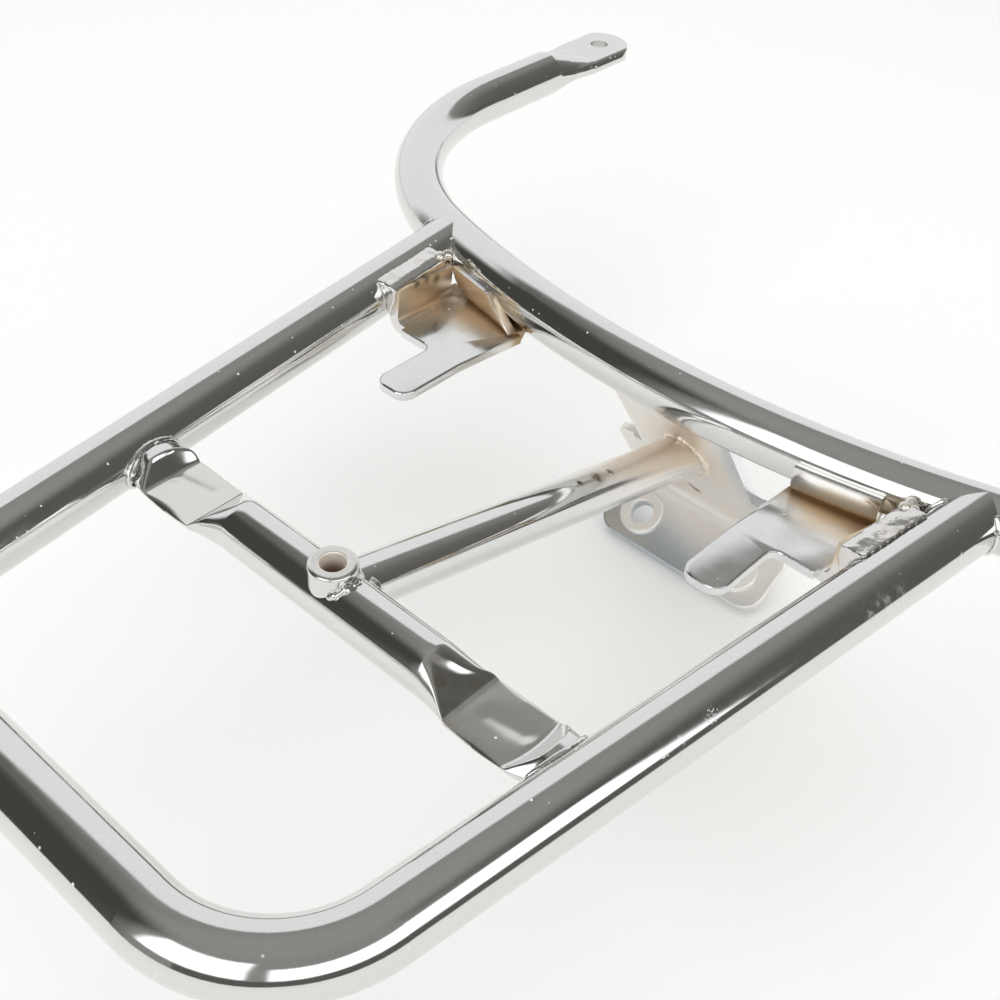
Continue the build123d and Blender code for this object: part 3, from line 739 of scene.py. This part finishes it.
def make_hook(side, material):
    """A hook with its sheet edges rounded over and its tongue level; the left lip slopes down to nothing."""
    mesh = bpy.data.objects["hook_" + side].data.copy()
    shape = bmesh.new()
    shape.from_mesh(mesh)
    bmesh.ops.remove_doubles(shape, verts=shape.verts, dist=0.01 * MM)
    bmesh.ops.dissolve_limit(shape, angle_limit=math.radians(1.0), verts=shape.verts, edges=shape.edges)
    if side == "left":
        for step in range(LIP_CUTS):
            lip = [f for f in shape.faces if f.calc_center_median().y > LIP_REAR]
            geom = lip + list({e for f in lip for e in f.edges}) + list({v for f in lip for v in f.verts})
            cut = (-LIP_CUT_X - LIP_CUT_STEP * step, 0, 0)
            bmesh.ops.bisect_plane(shape, geom=geom, dist=1e-7, plane_co=cut, plane_no=(1, 0, 0))
    for v in shape.verts:
        v.co.z -= max(HOOK_Y - v.co.y, 0) * TONGUE_LIFT
        if v.co.x < 0 and v.co.z > LIP_FOOT and v.co.y > LIP_REAR:
            if -LIP_SLANT_OUT < v.co.x < -LIP_SLANT_IN:
                v.co.x -= 0.6 * (v.co.z - LIP_FOOT)
                v.co.y += 0.12 * (v.co.z - LIP_FOOT)
            keep = min(max((-v.co.x - LIP_END) / LIP_FALL_RUN, 0), 1)
            v.co.z = LIP_FOOT + (v.co.z - LIP_FOOT) * (LIP_LEAST + (1 - LIP_LEAST) * keep)
    sharp = [e for e in shape.edges if len(e.link_faces) == 2 and e.calc_face_angle() > math.radians(50)]
    bmesh.ops.bevel(
        shape,
        geom=sharp,
        offset=HOOK_ROUND[side] * MM,
        segments=3,
        profile=0.5,
        affect="EDGES",
        clamp_overlap=True,
    )
    if side == "left":
        bmesh.ops.dissolve_degenerate(shape, dist=0.001 * MM, edges=shape.edges)
        add_corner(shape)
    shape.to_mesh(mesh)
    shape.free()
    mesh.shade_smooth()
    place_piece("hook_" + side + "_rounded", mesh, material, "hook_" + side)


def add_corner(shape):
    """Sheet that carries the left hook's base on into the corner of rail and loop."""
    rings = []
    for sink in CORNER_FACES:
        ring = []
        for x, y in CORNER_SHEET:
            z = HOOK_Z - (y * MM - HOOK_Y) * HOOK_FALL - sink * MM
            ring.append(shape.verts.new((x * MM, y * MM, z)))
        rings.append(ring)
    shape.faces.new(rings[0])
    shape.faces.new(rings[1][::-1])
    for i in range(len(CORNER_SHEET)):
        j = (i + 1) % len(CORNER_SHEET)
        shape.faces.new((rings[0][j], rings[0][i], rings[1][i], rings[1][j]))


def make_drops(node, spots, material, voxel, swell, grain):
    """Weld metal laid as overlapping drops: (x, y, z, radius) in millimetres."""
    drops = bmesh.new()
    for x, y, z, r in spots:
        spot = Matrix.Translation(Vector((x, y, z)) * MM)
        bmesh.ops.create_icosphere(drops, subdivisions=3, radius=r * MM, matrix=spot)
    mesh = bpy.data.meshes.new(node + "_drops")
    drops.to_mesh(mesh)
    drops.free()
    lay_weld(node, mesh, material, voxel, swell, grain)


def bush_drops():
    """Round the bush's foot, on its front and right."""
    spots = []
    for step in range(40):
        turn = math.radians(-50 + 5.0 * step)
        x = BUSH_RING * math.cos(turn)
        y = BUSH_RING * math.sin(turn)
        z = BAR_Z + math.sqrt(max(BAR_R**2 - y * y, 9.0))
        r = 1.15 + 0.3 * noise.noise((0.5 * step, 0.4, 0.9))
        if step in BUSH_LUMPS:
            r += 0.55
        spots.append((x, y, z, r))
    return spots


def strut_drops():
    """Round the strut's front end, where it meets the bracket's leg."""
    axis = Vector(STRUT_RUN).normalized()
    over = Vector((0, -axis.z, axis.y))
    leg = Vector(LEG_POINT)
    square = Vector((0, -math.cos(LEG_LEAN), -math.sin(LEG_LEAN)))
    spots = []
    for step in range(72):
        turn = math.radians(5.0 * step)
        rim = Vector((STRUT_RING * math.cos(turn), 0, BAR_Z)) + STRUT_RING * math.sin(turn) * over
        spot = rim + axis * ((leg - rim).dot(square) / axis.dot(square))
        spots.append((*spot, 1.5 + 0.9 * noise.noise((0.45 * step, 1.4, 0.2))))
    return spots


def corner_drops(side):
    """Two lumps in the corner of rail and loop, at the front of the hook's filler."""
    return [
        (side * 107.2, 154.6, 9.0, 2.1),
        (side * 107.2, 158.9, 8.2, 2.3),
        (side * 109.4, 157.0, 6.6, 2.8),
    ]


def make_weld(node, material, voxel, swell, grain):
    """A weld as laid metal: the node's shape, softened and made lumpy."""
    lay_weld(node, bpy.data.objects[node].data.copy(), material, voxel, swell, grain)


def lay_weld(node, shape, material, voxel, swell, grain):
    """Melts a rough shape together; voxel and swell are in millimetres, grain is lumps per metre."""
    rough = bpy.data.objects.new(node + "_rough", shape)
    bpy.context.collection.objects.link(rough)
    remesh = rough.modifiers.new("remesh", "REMESH")
    remesh.mode = "VOXEL"
    remesh.voxel_size = voxel * MM
    smooth = rough.modifiers.new("smooth", "SMOOTH")
    smooth.iterations = 5
    graph = bpy.context.evaluated_depsgraph_get()
    mesh = bpy.data.meshes.new_from_object(rough.evaluated_get(graph))
    bpy.data.objects.remove(rough)
    for v in mesh.vertices:
        lump = noise.noise(v.co * grain) + 0.4 * noise.noise(v.co * grain * 2.3)
        v.co += v.normal * (0.35 + lump) * swell * MM
    mesh.update()
    mesh.shade_smooth()
    place_piece(node + "_bead", mesh, material, node)


tube = metal("chrome_tube", CHROME, 0.085, tube_layers)
bar = metal("chrome_bar", CHROME, 0.07, bar_layers)
strut = metal("chrome_strut", CHROME, 0.08, strut_layers)
hook = metal("chrome_hook", (0.75, 0.75, 0.75), 0.14, hook_layers)
SATIN = {"wave": 0.03, "haze": 1.0, "specks": False}
BEAD = {"wave": 0.15, "specks": False}
bracket = metal("chrome_bracket", (0.92, 0.885, 0.84), 0.42, bracket_layers, sheen=0.8, **SATIN)
turned = metal("chrome_turned", (0.76, 0.75, 0.73), 0.20, bush_layers, specks=False)
ring = metal("chrome_ring", (0.93, 0.90, 0.86), 0.36, sheen=0.7, **SATIN)
weld = metal("chrome_weld", (0.76, 0.75, 0.74), 0.13, weld_layers, grain=0.25, **BEAD)
pale = metal("chrome_weld_pale", (0.86, 0.81, 0.74), 0.25, weld_layers, grain=0.2, sheen=0.75, **BEAD)
straw_weld = metal("chrome_weld_straw", (0.84, 0.75, 0.64), 0.28, grain=0.15, sheen=0.8, **BEAD)

MATERIALS = {
    "centre_strut": strut,
    "mounting_bracket": bracket,
    "case_bush": turned,
    "bolt_collar_left": ring,
    "bolt_collar_right": ring,
}
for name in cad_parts:
    node = bpy.data.objects[name]
    node.data.materials.clear()
    node.data.materials.append(MATERIALS.get(name, tube))

make_crossbar(bar)
for side in ("left", "right"):
    make_hook(side, hook)
    make_weld("weld_hook_" + side, weld, 0.45, 0.30, 150)
    turn = -1 if side == "left" else 1
    make_drops("weld_corner_" + side, corner_drops(turn), pale, 0.35, 0.25, 330)
    make_weld("weld_rail_" + side, weld, 0.3, 0.06, 300)
    make_weld("weld_outer_" + side, weld, 0.3, 0.06, 300)
    make_weld("weld_crossbar_" + side, weld, 0.3, 0.15, 250)
make_drops("weld_bush", bush_drops(), weld, 0.3, 0.12, 300)
make_drops("weld_strut_front", strut_drops(), straw_weld, 0.35, 0.2, 300)
for node in ("weld_strut_rear", "weld_bracket"):
    make_weld(node, weld, 0.35, 0.30, 300)

make_floor()
make_camera()
make_world()
make_lamp("key", (0.0, 0.05, 1.6), (0, 0.05, 0), 2.8, 28)
bpy.context.scene.view_settings.view_transform = "Standard"
